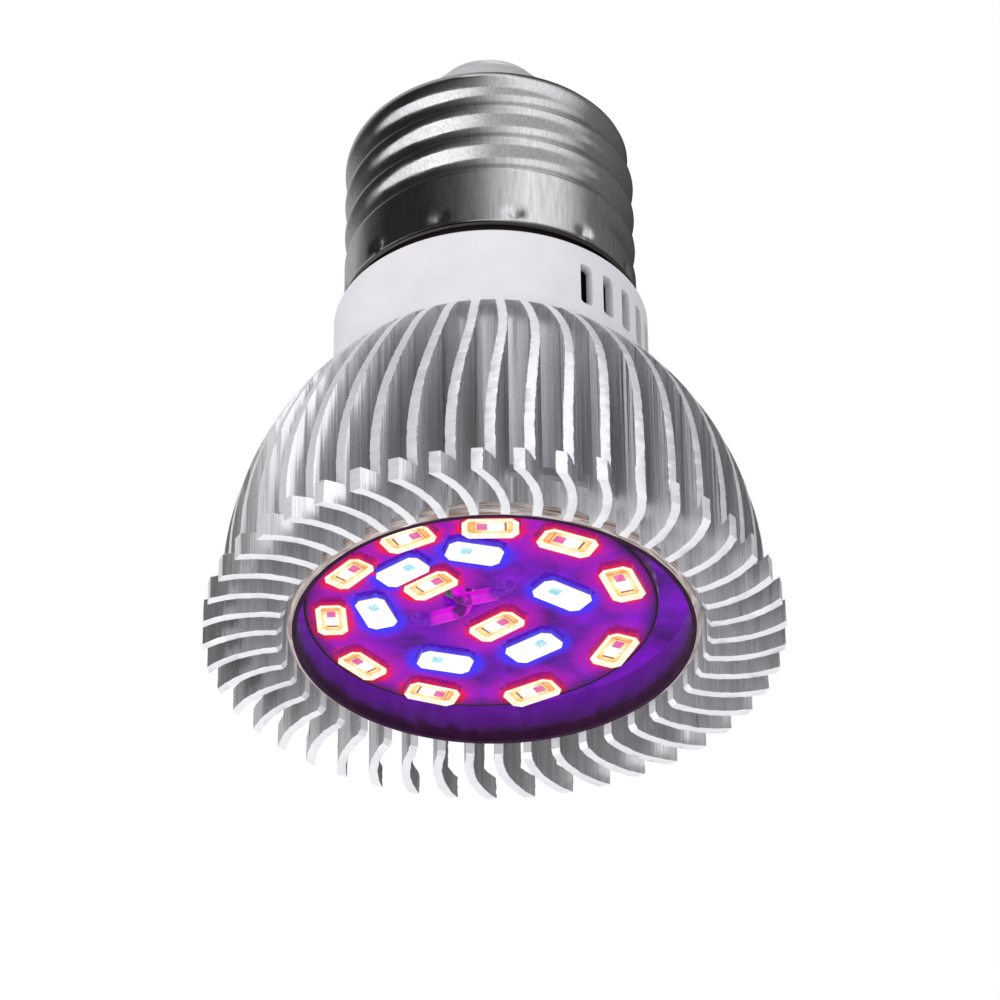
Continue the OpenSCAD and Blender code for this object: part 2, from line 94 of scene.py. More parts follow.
class HeatSinkSettings(PropertyGroup):
    fins: IntProperty(name="Fins", description="Number of fins round the hub", default=45, min=3)
    first_fin: FloatProperty(name="First fin", description="Direction of the first fin's root",
                             default=math.radians(1.2), subtype="ANGLE")
    thickness: length("Fin thickness", "Thickness of each fin", 0.75)
    tip_radius: length("Tip radius", "Distance of the fin tips from the axis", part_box("heat_sink")[1][0] / MM)
    bend_start: length("Bend start", "Distance from the axis at which a fin starts to bend", 18.5)
    bend_radius: length("Bend radius", "Radius of each fin's bend", 8.9)
    band_height: length("Band height", "Height of the full-width band at the front", 2.2)
    dome_radius: length("Dome radius", "Radius of the dome at its widest", 23.5)
    burr: length("Burr", "Unevenness of the cut edges", 0.05)
    side_tint: colour("Fin sides", "Colour of the extruded metal", (0.965, 0.96, 0.975))
    cut_tint: colour("Cut faces", "Colour of the turned metal", (0.965, 0.96, 0.975))


class CoverSettings(PropertyGroup):
    radius: length("Radius", "Outer radius of the clear cover", 17.75)
    wall: length("Rim wall", "Thickness of the cover's rim", 0.8)
    face: length("Face", "Thickness of the cover's face", 1.0)
    # Painted shade: the near-black violet glow painted on the rim's inner wall at the front.
    rim_shade_glow: colour("Rim", "Colour that the rim shows from inside", (0.024, 0.0, 0.034))


class BoardSettings(PropertyGroup):
    radius: length("Radius", "Radius of the LED board", 15.3)
    shift: length("Shift", "How far the board sits off the axis", 1.13)
    led_length: length("LED length", "Length of one LED", 5.4)
    led_width: length("LED width", "Width of one LED", 3.0)
    led_height: length("LED height", "Height of one LED", 0.8)
    violet: colour("Violet", "Colour of the lit board", (0.16, 0.0, 0.43))
    magenta: colour("Magenta", "Colour of the board where red and blue light mix", (0.5, 0.0, 0.5))
    red_glow: colour("Red glow", "Colour round the red LEDs", (0.95, 0.0, 0.05))
    blue_glow: colour("Blue glow", "Colour round the blue LEDs", (0.06, 0.03, 1.0))


class HousingSettings(PropertyGroup):
    edge: length("Edge", "Rounding of the moulding's edges", 0.12)
    tint: colour("Plastic", "Colour of the white plastic", (0.80, 0.79, 0.81))


class CapSettings(PropertyGroup):
    radius: length("Radius", "Radius over the thread's crests", 13.15)
    sheet: length("Sheet", "Thickness of the sheet metal", 0.3)
    pitch: length("Pitch", "Pitch of the thread", 3.629)
    groove: length("Groove", "Depth of the thread's grooves", 1.05)
    dimples: IntProperty(name="Dimples", description="Number of crimped dimples", default=12, min=1)
    dimple: length("Dimple depth", "Depth of each dimple", 0.3)
    tint: colour("Plating", "Colour of the nickel plating", (0.6, 0.6, 0.6))


class StageSettings(PropertyGroup):
    lens: FloatProperty(name="Lens", description="Focal length of the camera in mm", default=180.57)
    floor_tint: colour("Floor", "Colour of the floor", (0.86, 0.86, 0.87))
    lamp_power: FloatProperty(name="Lamp power", description="Power of the main lamp", default=0.7,
                              unit="POWER")


# Mesh helpers: pieces are shaped in millimetres and scaled to metres at the end

def chain(bm, outline, closed):
    """Adds a section in the XZ plane from (radius, height) points, and returns its parts."""
    verts = [bm.verts.new((reach, 0.0, height)) for reach, height in outline]
    pairs = list(zip(verts, verts[1:]))
    if closed:
        pairs.append((verts[-1], verts[0]))
    return verts + [bm.edges.new(pair) for pair in pairs]


def turn_section(bm, outline, steps, closed=True):
    """Spins a section right round the Z axis."""
    bmesh.ops.spin(bm, geom=chain(bm, outline, closed), cent=(0, 0, 0), axis=(0, 0, 1),
                   dvec=(0, 0, 0), angle=math.tau, steps=steps, use_merge=True,
                   use_normal_flip=False, use_duplicate=False)
    bmesh.ops.remove_doubles(bm, verts=bm.verts, dist=0.0005)
    bmesh.ops.recalc_face_normals(bm, faces=bm.faces)


def round_edges(bm, width, segments, sharper_than=30, edges=None):
    """Bevels the edges where two faces meet at more than an angle."""
    limit = math.radians(sharper_than)
    sharp = [e for e in edges or bm.edges if len(e.link_faces) == 2 and e.calc_face_angle(0) > limit]
    bmesh.ops.bevel(bm, geom=sharp, offset=width, offset_type="OFFSET", segments=segments, profile=0.5,
                    affect="EDGES", clamp_overlap=True, material=-1)


def merged_copy(node):
    """A bmesh in millimetres of a CAD node's mesh, its loose triangles joined and its flats made whole."""
    bm = bmesh.new()
    bm.from_mesh(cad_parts[node].data)
    bmesh.ops.scale(bm, vec=(1 / MM, 1 / MM, 1 / MM), verts=bm.verts)
    bmesh.ops.remove_doubles(bm, verts=bm.verts, dist=0.002)
    bmesh.ops.dissolve_degenerate(bm, edges=bm.edges, dist=0.001)
    bmesh.ops.dissolve_limit(bm, angle_limit=math.radians(1.0), use_dissolve_boundaries=False,
                             verts=bm.verts, edges=bm.edges, delimit={"NORMAL"})
    return bm


def finish_piece(bm, name, materials, nodes, smooth=30):
    """Makes the object of a piece shaped in millimetres, and puts it on the bulb in place of its nodes."""
    bmesh.ops.scale(bm, vec=(MM, MM, MM), verts=bm.verts)
    mesh = bpy.data.meshes.new(name)
    bm.to_mesh(mesh)
    bm.free()
    for material in materials:
        mesh.materials.append(material)
    mesh.shade_smooth()
    mesh.set_sharp_from_angle(angle=math.radians(smooth))
    piece = bpy.data.objects.new(name, mesh)
    bpy.context.scene.collection.objects.link(piece)
    weighted = piece.modifiers.new("Even shading", "WEIGHTED_NORMAL")
    weighted.keep_sharp = True
    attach(piece, "root")
    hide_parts(*nodes)
    return piece


def keep_light_in(piece):
    """The photo's lit face throws no colour on the fins, so its pieces don't light the others."""
    piece.visible_diffuse = False
    piece.visible_glossy = False


def finish_node(node, material):
    """Gives a CAD node that keeps its shape its finish."""
    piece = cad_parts[node]
    if not piece.material_slots:
        piece.data.materials.append(material)
    for slot in piece.material_slots:
        slot.material = material


# Material helpers

def start_material(name, roughness=0.5, metallic=0.0):
    """A material with one Principled shader; returns it, its tree and the shader."""
    material = bpy.data.materials.new(name)
    material.use_nodes = True
    tree = material.node_tree
    shader = tree.nodes["Principled BSDF"]
    shader.inputs["Roughness"].default_value = roughness
    shader.inputs["Metallic"].default_value = metallic
    return material, tree, shader


def put(tree, kind, feeds=None, **settings):
    """Adds a node with its settings; feeds gives an input's name or number a link or a value."""
    made = tree.nodes.new("ShaderNode" + kind)
    for key, value in settings.items():
        setattr(made, key, value)
    for key, value in (feeds or {}).items():
        socket = made.inputs[key]
        if isinstance(value, bpy.types.NodeSocket):
            tree.links.new(value, socket)
        else:
            socket.default_value = value
    return made


def math_node(tree, operation, first, second=0.0, third=0.0):
    """A Math node's result."""
    return put(tree, "Math", {0: first, 1: second, 2: third}, operation=operation).outputs[0]


def place(tree, stretch=(1.0, 1.0, 1.0)):
    """Object coordinates in millimetres, stretched along each axis."""
    coords = put(tree, "TexCoord").outputs["Object"]
    scale = [value / MM for value in stretch]
    return put(tree, "VectorMath", {0: coords, 1: scale}, operation="MULTIPLY").outputs[0]


def grain(tree, stretch, detail=3.0, roughness=0.55, scale=1.0):
    """Noise from 0 to 1 over stretched object coordinates."""
    made = put(tree, "TexNoise", {"Vector": place(tree, stretch), "Scale": scale, "Detail": detail,
                                  "Roughness": roughness})
    return made.outputs["Fac"]


def ramp(tree, factor, stops, ease="LINEAR"):
    """Colour ramp; stops are (place, colour)."""
    made = put(tree, "ValToRGB", {0: factor})
    bar = made.color_ramp
    bar.interpolation = ease
    while len(bar.elements) < len(stops):
        bar.elements.new(0.5)
    for element, (spot, tint) in zip(bar.elements, stops):
        element.position = spot
        element.color = tuple(tint) + (1.0,)
    return made.outputs[0]


def spread(tree, factor, low, high, from_low=0.3, from_high=0.7):
    """Maps a factor's usable range to another range."""
    return put(tree, "MapRange", {0: factor, 1: from_low, 2: from_high, 3: low, 4: high}).outputs[0]


def blend(tree, factor, first, second, kind="MIX"):
    """Mixes two colours."""
    made = put(tree, "Mix", {0: factor, 6: first, 7: second}, data_type="RGBA", blend_type=kind)
    return made.outputs[2]


def dent(tree, shader, height, depth, strength=1.0):
    """Feeds a height from 0 to 1 to the shader as bump, depth in millimetres."""
    made = put(tree, "Bump", {"Height": height, "Strength": strength, "Distance": depth * MM})
    tree.links.new(made.outputs[0], shader.inputs["Normal"])


def solid(tint):
    """A colour with its alpha."""
    return tuple(tint) + (1.0,)


def shade(tint, factor):
    """A lighter or darker colour."""
    return tuple(min(1.0, value * factor) for value in tint)


def blend_tints(first, second):
    """The colour midway between two."""
    return tuple((a + b) / 2 for a, b in zip(first, second))


def extruded_metal(name, tint):
    """Bare extruded aluminium with die lines along Z."""
    material, tree, shader = start_material(name, roughness=0.3, metallic=0.88)
    lines = grain(tree, (1.1, 1.1, 0.02), detail=3.0, roughness=0.6)
    hair = grain(tree, (4.0, 4.0, 0.05), detail=2.0)
    both = math_node(tree, "ADD", math_node(tree, "MULTIPLY", lines, 0.65), math_node(tree, "MULTIPLY", hair, 0.35))
    tone = ramp(tree, both, [(0.34, shade(tint, 0.72)), (0.44, shade(tint, 0.9)), (0.52, tint),
                             (0.66, shade(tint, 1.03))])
    cloud = grain(tree, (0.35, 0.35, 0.2), detail=2.0)
    tone = blend(tree, spread(tree, cloud, 0.0, 0.2), tone, solid(shade(tint, 0.86)))
    tree.links.new(tone, shader.inputs["Base Color"])
    tree.links.new(spread(tree, both, 0.2, 0.34), shader.inputs["Roughness"])
    dent(tree, shader, both, 0.07, 0.9)
    return material


def turned_metal(name, tint):
    """Bright turned aluminium with tool marks round the axis."""
    material, tree, shader = start_material(name, roughness=0.34, metallic=0.45)
    marks = grain(tree, (0.4, 0.4, 7.0), detail=3.0, roughness=0.6)
    pits = grain(tree, (6.0, 6.0, 6.0), detail=2.0)
    tone = ramp(tree, marks, [(0.3, shade(tint, 0.92)), (0.5, tint), (0.7, shade(tint, 1.05))])
    tree.links.new(tone, shader.inputs["Base Color"])
    tree.links.new(spread(tree, marks, 0.32, 0.44), shader.inputs["Roughness"])
    height = math_node(tree, "ADD", marks, math_node(tree, "MULTIPLY", pits, 0.8))
    dent(tree, shader, height, 0.006, 0.4)
    return material


def plated_metal(name, tint):
    """Rolled nickel plating: fine drawn streaks, faint clouds, dark specks and light scratches."""
    material, tree, shader = start_material(name, roughness=0.24, metallic=1.0)
    drawn = grain(tree, (4.5, 4.5, 0.35), detail=4.0, roughness=0.65)
    cloud = grain(tree, (0.45, 0.45, 0.45), detail=3.0)
    speck = grain(tree, (3.2, 3.2, 3.2), detail=2.0, roughness=0.8)
    tone = ramp(tree, drawn, [(0.25, shade(tint, 0.74)), (0.5, tint), (0.75, shade(tint, 1.18))])
    tone = blend(tree, spread(tree, cloud, 0.0, 0.2), tone, solid(shade(tint, 0.78)))
    tone = blend(tree, spread(tree, speck, 0.0, 0.75, 0.7, 0.78), tone, solid((0.05, 0.045, 0.04)))
    tree.links.new(tone, shader.inputs["Base Color"])
    tree.links.new(spread(tree, cloud, 0.12, 0.24), shader.inputs["Roughness"])
    dent(tree, shader, drawn, 0.006, 0.3)
    return material


def moulded_plastic(name, tint, roughness=0.42, depth=0.01):
    """Satin moulded plastic with a fine spark texture."""
    material, tree, shader = start_material(name, roughness=roughness)
    fine = grain(tree, (5.0, 5.0, 5.0), detail=3.0)
    broad = grain(tree, (0.25, 0.25, 0.25), detail=2.0)
    tone = ramp(tree, broad, [(0.3, shade(tint, 0.95)), (0.7, shade(tint, 1.03))])
    tree.links.new(tone, shader.inputs["Base Color"])
    tree.links.new(spread(tree, fine, roughness - 0.06, roughness + 0.1), shader.inputs["Roughness"])
    dent(tree, shader, fine, depth, 0.4)
    return material


# Heat sink

def bent_point(sizes, co):
    """Where a point of the flat fin goes: its X is its distance from the axis, its Y the way off mid fin."""
    reach, off, height = co
    start = sizes.bend_start / MM
    radius = sizes.bend_radius / MM
    if reach <= math.hypot(start, off):
        return Vector((math.sqrt(reach * reach - off * off), off, height))
    arc = radius + off
    span = math.hypot(start, radius)
    rise = (reach * reach - start * start - radius * radius - arc * arc) / (2 * arc * span)
    turn = math.atan2(radius, start) + math.asin(min(1.0, rise))
    return Vector((start + arc * math.sin(turn), arc * math.cos(turn) - radius, height))


def flat_fin(bm, sizes):
    """Cuts one flat fin, gives it its thickness and breaks its edges."""
    low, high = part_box("heat_sink")
    top = high[2] / MM
    tip = sizes.tip_radius / MM
    dome = sizes.dome_radius / MM
    band = sizes.band_height / MM
    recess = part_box("mounting_plate")[1][0] / MM + 0.05
    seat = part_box("mounting_plate")[1][2] / MM
    arc_radius = 29.86
    arc_height = 4.5
    outline = [(12.7, seat), (recess, seat), (recess, 0.4), (recess + 0.4, 0.0), (tip, 0.0)]
    outline += [(tip, band * share / 6) for share in range(1, 7)]
    rows = 84
    for row in range(rows + 1):
        height = band + (top - band) * row / rows
        reach = dome - arc_radius + math.sqrt(arc_radius ** 2 - (height - arc_height) ** 2)
        outline.append((reach, height))
    outline.append((12.7, top))
    corners = [bm.verts.new((reach, 0.0, height)) for reach, height in outline]
    bm.faces.new(corners)
    columns = 13
    start = sizes.bend_start / MM
    for column in range(columns + 1):
        bmesh.ops.bisect_plane(bm, geom=bm.verts[:] + bm.edges[:] + bm.faces[:], dist=0.001,
                               plane_co=(start + (tip - start) * column / (columns + 1), 0, 0),
                               plane_no=(1, 0, 0))
    thick = sizes.thickness / MM
    made = bmesh.ops.extrude_face_region(bm, geom=bm.faces[:], use_keep_orig=True)["geom"]
    second = [part for part in made if isinstance(part, bmesh.types.BMVert)]
    bmesh.ops.translate(bm, vec=(0, thick, 0), verts=second)
    bmesh.ops.translate(bm, vec=(0, -thick / 2, 0), verts=bm.verts)
    bmesh.ops.recalc_face_normals(bm, faces=bm.faces)
    for face in bm.faces:
        face.material_index = 0 if abs(face.normal.y) > 0.9 else 1
    corners = [e for e in bm.edges if len({f.material_index for f in e.link_faces}) == 2]
    round_edges(bm, 0.06, 1, 30, corners)
    for face in bm.faces:
        face.material_index = 0 if abs(face.normal.y) > 0.95 else 1


class GROWLIGHT_OT_heat_sink(Operator):
    """Builds the extruded heat sink: a hub and bent fins turned to a dome"""
    bl_idname = "growlight.heat_sink"
    bl_label = "Heat sink"

    def execute(self, context):
        sizes = context.scene.grow_light_sink
        bm = bmesh.new()
        flat_fin(bm, sizes)
        for vert in bm.verts:
            vert.co = bent_point(sizes, vert.co)
        bmesh.ops.rotate(bm, cent=(0, 0, 0), matrix=Matrix.Rotation(sizes.first_fin, 3, "Z"), verts=bm.verts)
        step = math.tau / sizes.fins
        bmesh.ops.spin(bm, geom=bm.verts[:] + bm.edges[:] + bm.faces[:], cent=(0, 0, 0), axis=(0, 0, 1),
                       dvec=(0, 0, 0), angle=step * (sizes.fins - 1), steps=sizes.fins - 1,
                       use_merge=False, use_normal_flip=False, use_duplicate=True)
        bmesh.ops.recalc_face_normals(bm, faces=bm.faces)
        chance = random.Random(4)
        burr = sizes.burr / MM
        for vert in bm.verts:
            if any(face.material_index == 1 for face in vert.link_faces):
                sideways = Vector((-vert.co.y, vert.co.x, 0.0)).normalized()
                vert.co += sideways * chance.uniform(-burr, burr)
                vert.co.z += chance.uniform(0.0, burr * 0.6) if vert.co.z < 24.0 else 0.0
        hub = bmesh.new()
        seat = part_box("mounting_plate")[1][2] / MM
        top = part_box("heat_sink")[1][2] / MM
        turn_section(hub, [(11.1, seat), (12.8, seat), (12.8, top), (11.1, top)], 90)
        for face in hub.faces:
            face.material_index = 1 if abs(face.normal.z) > 0.5 else 0
        hub_mesh = bpy.data.meshes.new("hub")
        hub.to_mesh(hub_mesh)
        hub.free()
        bm.from_mesh(hub_mesh)
        bpy.data.meshes.remove(hub_mesh)
        sides = extruded_metal("Extruded aluminium", sizes.side_tint)
        cuts = turned_metal("Turned aluminium", sizes.cut_tint)
        finish_piece(bm, "finned_heat_sink", [sides, cuts], ["heat_sink"])
        return {"FINISHED"}


# Front cover

def cover_glass(name):
    """Clear moulded cover: see-through, with a weak gloss and faint moulding waves."""
    material = bpy.data.materials.new(name)
    material.use_nodes = True
    tree = material.node_tree
    tree.nodes.clear()
    output = put(tree, "OutputMaterial")
    waves = grain(tree, (0.6, 0.6, 0.6), detail=2.0)
    clear = put(tree, "BsdfTransparent", {"Color": (0.96, 0.95, 0.98, 1.0)})
    gloss = put(tree, "BsdfGlossy", {"Roughness": 0.06})
    bump = put(tree, "Bump", {"Height": waves, "Strength": 0.25, "Distance": 0.02 * MM})
    tree.links.new(bump.outputs[0], gloss.inputs["Normal"])
    edge = put(tree, "Fresnel", {"IOR": 1.1})
    smear = spread(tree, grain(tree, (0.2, 0.5, 0.3), detail=4.0), 0.15, 0.45)
    share = math_node(tree, "MULTIPLY", edge.outputs[0], smear)
    mix = put(tree, "MixShader", {0: share, 1: clear.outputs[0], 2: gloss.outputs[0]})
    tree.links.new(mix.outputs[0], output.inputs["Surface"])
    return material


def painted_rim_glow(name, tint, violet):
    """The cover's rim, with painted shade and painted light: a near-black glow at the front and the board's violet
    light painted near the board.
    """
    material, tree, shader = start_material(name, roughness=0.5)
    height = put(tree, "SeparateXYZ", {0: place(tree)}).outputs[2]
    streak = grain(tree, (0.9, 0.9, 0.5), detail=3.0)
    level = math_node(tree, "ADD", height, spread(tree, streak, -0.35, 0.35))
    # Painted shade and painted light: the glow goes from near black at the front to violet near the board, and the
    # base colour stays near black.
    glow = ramp(tree, spread(tree, level, 0.0, 1.0, 1.6, 4.6),
                [(0.0, shade(tint, 0.5)), (0.1, tint), (0.34, shade(violet, 0.45)), (1.0, shade(violet, 0.85))])
    tree.links.new(glow, shader.inputs["Emission Color"])
    shader.inputs["Emission Strength"].default_value = 0.8
    base = ramp(tree, streak, [(0.3, (0.012, 0.0, 0.01)), (0.7, (0.03, 0.008, 0.02))])
    tree.links.new(base, shader.inputs["Base Color"])
    shader.inputs["Specular IOR Level"].default_value = 0.12
    return material


def painted_rim_reflection(name):
    """The outside of the cover's rim, with the fins' reflection painted on it as beige and brown bands."""
    material, tree, shader = start_material(name, roughness=0.25)
    bands = grain(tree, (0.12, 0.12, 2.4), detail=3.0, roughness=0.6)
    # Painted reflection: beige and brown bands in the base colour stand in for the fins reflected in the rim.
    base = ramp(tree, bands, [(0.3, (0.1, 0.05, 0.035)), (0.42, (0.42, 0.32, 0.27)), (0.5, (0.8, 0.76, 0.74)),
                              (0.56, (0.36, 0.26, 0.22)), (0.7, (0.75, 0.68, 0.64))])
    tree.links.new(base, shader.inputs["Base Color"])
    tree.links.new(spread(tree, bands, 0.2, 0.4), shader.inputs["Roughness"])
    dent(tree, shader, bands, 0.03, 0.5)
    return material


class GROWLIGHT_OT_cover(Operator):
    """Builds the clear front cover with its rim"""
    bl_idname = "growlight.cover"
    bl_label = "Front cover"

    def execute(self, context):
        sizes = context.scene.grow_light_cover
        low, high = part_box("lens_cover")
        radius = sizes.radius / MM
        inner = radius - sizes.wall / MM
        front = low[2] / MM
        back = high[2] / MM
        under = front + sizes.face / MM
        disc = inner - 0.02
        bm = bmesh.new()
        turn_section(bm, [(0.0, front), (6.0, front), (12.0, front), (disc, front), (disc, under),
                          (12.0, under), (6.0, under), (0.0, under)], 128, closed=False)
        turn_section(bm, [(inner, front), (radius - 0.4, front), (radius, front + 0.3), (radius, under),
                          (radius, back), (inner, back)], 128)
        for face in bm.faces:
            middle = face.calc_center_median()
            reach = math.hypot(middle.x, middle.y)
            face.material_index = 1 if reach > disc - 0.02 else 0
            # Painted view: the upper part of the rim's outer wall gets the fins' metal, standing in for the fins
            # seen through the clear rim.
            if reach > radius - 0.3:
                face.material_index = 2 if middle.z < under else 3
        glass = cover_glass("Clear cover")
        rim = painted_rim_glow("Cover rim", sizes.rim_shade_glow, context.scene.grow_light_board.violet)
        sink = context.scene.grow_light_sink
        fins_through_rim = extruded_metal("Fins seen through the rim", sink.side_tint)
        cover = finish_piece(bm, "clear_front_cover", [glass, rim, painted_rim_reflection("Cover rim painted reflection"), fins_through_rim],
                             ["lens_cover"])
        keep_light_in(cover)
        return {"FINISHED"}


# LED board and LEDs

def on_board(sizes, spot):
    """An LED's middle in millimetres and its turn in radians."""
    reach, direction, turn = spot
    angle = math.radians(direction)
    middle = Vector((reach * math.cos(angle) - sizes.shift / MM, reach * math.sin(angle), 0.0))
    return middle, math.radians(turn)


def nearest(tree, sizes, places):
    """Distance in millimetres from the nearest of the LEDs, each taken as a short bar."""
    coords = place(tree)
    flat = put(tree, "VectorMath", {0: coords, 1: (1.0, 1.0, 0.0)}, operation="MULTIPLY").outputs[0]
    found = None
    for spot in places:
        middle, turn = on_board(sizes, spot)
        along = Vector((math.cos(turn), math.sin(turn), 0.0)) * 1.3
        middle = middle + GLOW_SHIFT
        for end in (middle - along, middle, middle + along):
            away = put(tree, "VectorMath", {0: flat, 1: end}, operation="DISTANCE").outputs["Value"]
            found = away if found is None else math_node(tree, "MINIMUM", found, away)
    return found


def lit_board(name, sizes, red, blue):
    """Board face lit by its LEDs: violet, with red and blue light round each one."""
    material, tree, shader = start_material(name, roughness=0.3)
    coords = place(tree)
    cloud = grain(tree, (0.28, 0.28, 0.28), detail=4.0, roughness=0.6)
    fleck = grain(tree, (1.3, 1.3, 1.3), detail=4.0, roughness=0.7)
    violet = ramp(tree, cloud, [(0.32, shade(sizes.violet, 0.4)), (0.5, sizes.violet),
                                (0.66, shade(sizes.violet, 1.5))])
    centre = (-sizes.shift / MM, 0.0, 0.0)
    flat = put(tree, "VectorMath", {0: coords, 1: (1.0, 1.0, 0.0)}, operation="MULTIPLY").outputs[0]
    reach = put(tree, "VectorMath", {0: flat, 1: centre}, operation="DISTANCE").outputs["Value"]
    shader.inputs["Specular IOR Level"].default_value = 0.08
    lit = violet
    if red is not None:
        near_red = nearest(tree, sizes, red)
        near_blue = nearest(tree, sizes, blue)
        uneven = spread(tree, fleck, -0.35, 0.35)
        near_red = math_node(tree, "ADD", near_red, uneven)
        red_part = put(tree, "MapRange", {0: near_red, 1: 2.2, 2: 1.3, 3: 0.0, 4: 0.95},
                       interpolation_type="SMOOTHSTEP").outputs[0]
        wide_red = put(tree, "MapRange", {0: near_red, 1: 4.2, 2: 1.8, 3: 0.0, 4: 0.8},
                       interpolation_type="SMOOTHSTEP").outputs[0]
        blue_part = put(tree, "MapRange", {0: near_blue, 1: 2.8, 2: 1.5, 3: 0.0, 4: 1.0},
                        interpolation_type="SMOOTHSTEP").outputs[0]
        lit = blend(tree, wide_red, lit, solid(sizes.magenta))
        lit = blend(tree, blue_part, lit, solid(sizes.blue_glow))
        lit = blend(tree, red_part, lit, solid(sizes.red_glow))
    edge = put(tree, "MapRange", {0: reach, 1: 13.6, 2: 15.1, 3: 1.0, 4: 0.35}).outputs[0]
    line = put(tree, "MapRange", {0: math_node(tree, "ABSOLUTE", math_node(tree, "SUBTRACT", reach, 15.15)),
                                  1: 0.05, 2: 0.22, 3: 0.08, 4: 1.0}).outputs[0]
    dim = math_node(tree, "MULTIPLY", edge, line) if red is not None else 0.9
    lit = blend(tree, 1.0, lit, put(tree, "CombineColor", {0: dim, 1: dim, 2: dim}).outputs[0], "MULTIPLY")
    tree.links.new(lit, shader.inputs["Emission Color"])
    shader.inputs["Emission Strength"].default_value = 0.9
    base = blend(tree, 1.0, lit, (0.12, 0.12, 0.12, 1.0), "MULTIPLY")
    tree.links.new(base, shader.inputs["Base Color"])
    dent(tree, shader, fleck, 0.02, 0.4)
    return material


class GROWLIGHT_OT_board(Operator):
    """Builds the LED board and the plate that it is mounted on"""
    bl_idname = "growlight.board"
    bl_label = "LED board"

    def execute(self, context):
        sizes = context.scene.grow_light_board
        face = lit_board("Lit board", sizes, RED_PLACES, BLUE_PLACES)
        bm = merged_copy("led_board")
        round_edges(bm, 0.05, 2)
        keep_light_in(finish_piece(bm, "round_led_board", [face], ["led_board"]))
        plate = lit_board("Lit plate", sizes, None, None)
        bm = merged_copy("mounting_plate")
        round_edges(bm, 0.04, 2)
        front = [side for side in bm.faces if side.normal.z < -0.5]
        bmesh.ops.inset_region(bm, faces=front, thickness=1.3, depth=0.0, use_even_offset=True)
        for side in bm.faces:
            reach = side.calc_center_median().xy.length
            side.material_index = 0 if side.normal.z < -0.5 and reach < 16.8 else 1
        dull = turned_metal("Plate aluminium", (0.35, 0.34, 0.36))
        keep_light_in(finish_piece(bm, "board_mounting_plate", [plate, dull], ["mounting_plate"]))
        return {"FINISHED"}


def glowing(name, low, high, strength, stretch=1.5):
    """Lit resin or plastic whose light varies a little."""
    material, tree, shader = start_material(name, roughness=0.4)
    cloud = grain(tree, (stretch, stretch, stretch), detail=2.0)
    tone = ramp(tree, cloud, [(0.35, low), (0.65, high)])
    tree.links.new(tone, shader.inputs["Emission Color"])
    shader.inputs["Emission Strength"].default_value = strength
    shader.inputs["Specular IOR Level"].default_value = 0.1
    tree.links.new(blend(tree, 1.0, tone, (0.12, 0.12, 0.12, 1.0), "MULTIPLY"), shader.inputs["Base Color"])
    return material


def side_glow(name, front, back):
    """The sides of an LED package, brightest at its front and dimmer towards the board."""
    material, tree, shader = start_material(name, roughness=0.4)
    low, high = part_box("red_led_01")
    height = put(tree, "SeparateXYZ", {0: place(tree)}).outputs[2]
    level = math_node(tree, "ADD", height, spread(tree, grain(tree, (1.5, 1.5, 1.5), detail=3.0), -0.15, 0.15))
    tone = ramp(tree, spread(tree, level, 0.0, 1.0, low[2] / MM, high[2] / MM),
                [(0.0, front), (0.3, blend_tints(front, back)), (0.8, back)])
    tree.links.new(tone, shader.inputs["Emission Color"])
    shader.inputs["Emission Strength"].default_value = 0.9
    shader.inputs["Specular IOR Level"].default_value = 0.1
    tree.links.new(blend(tree, 1.0, tone, (0.12, 0.12, 0.12, 1.0), "MULTIPLY"), shader.inputs["Base Color"])
    return material


def lit_window(name, middle, near, far, strength):
    """The floor of an LED's window: white-hot beside the die and deeper in colour towards the ends."""
    material, tree, shader = start_material(name, roughness=0.3)
    spot = put(tree, "UVMap").outputs[0]
    away = put(tree, "VectorMath", {0: spot, 1: (0.25, 0.0, 0.0)}, operation="SUBTRACT").outputs[0]
    away = put(tree, "VectorMath", {0: away, 1: (0.62, 1.0, 1.0)}, operation="MULTIPLY").outputs[0]
    reach = put(tree, "VectorMath", {0: away}, operation="LENGTH").outputs["Value"]
    cloud = grain(tree, (2.0, 2.0, 2.0), detail=2.0)
    reach = math_node(tree, "ADD", reach, spread(tree, cloud, -0.12, 0.12))
    tone = ramp(tree, spread(tree, reach, 0.0, 1.0, 0.0, 1.5),
                [(0.0, middle), (0.35, middle), (0.6, near), (0.95, far)])
    tree.links.new(tone, shader.inputs["Emission Color"])
    shader.inputs["Emission Strength"].default_value = strength
    shader.inputs["Specular IOR Level"].default_value = 0.1
    tree.links.new(blend(tree, 1.0, tone, (0.12, 0.12, 0.12, 1.0), "MULTIPLY"), shader.inputs["Base Color"])
    return material


def block(bm, size, middle, index, edge=0.0):
    """A small block with broken edges, in its own material slot."""
    made = bmesh.ops.create_cube(bm, size=1.0)["verts"]
    bmesh.ops.scale(bm, vec=size, verts=made)
    bmesh.ops.translate(bm, vec=middle, verts=made)
    faces = {face for vert in made for face in vert.link_faces}
    for face in faces:
        face.material_index = index
    if edge:
        edges = {side for face in faces for side in face.edges}
        bmesh.ops.bevel(bm, geom=list(edges), offset=edge, offset_type="OFFSET", segments=1, profile=0.5,
                        affect="EDGES", clamp_overlap=True, material=-1)


